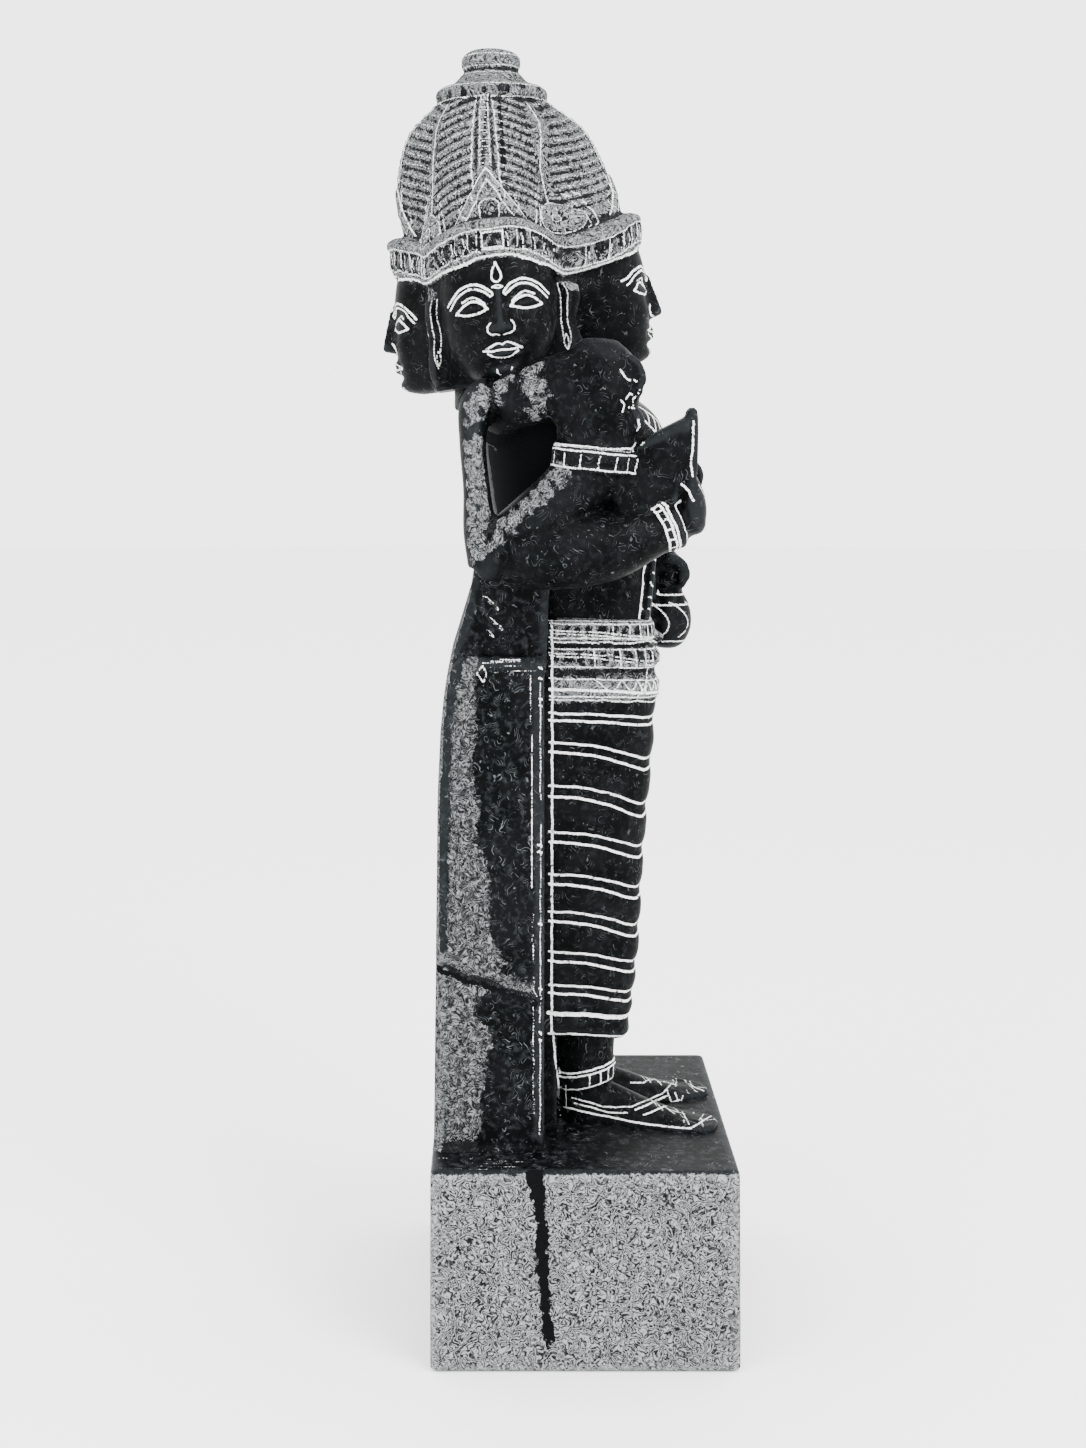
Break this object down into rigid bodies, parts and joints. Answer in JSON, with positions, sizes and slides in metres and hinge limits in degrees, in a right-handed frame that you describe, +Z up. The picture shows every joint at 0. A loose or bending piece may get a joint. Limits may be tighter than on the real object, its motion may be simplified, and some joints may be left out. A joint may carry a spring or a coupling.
{
  "type": "statue",
  "caption": "Standing multi-headed deity in dark carved stone, with crown, several arms, back slab and plinth.",
  "frame": {"origin": "centre of the plinth's underside", "axes": "+Z up along the figure, -Y towards the front face and toes, -X to the figure's own right hand"},
  "size_m": [0.2586, 0.2464, 0.9002],
  "materials": {
    "stone": "satin"
  },
  "bodies": {
    "root": {"statue": "stone"}
  },
  "joints": []
}
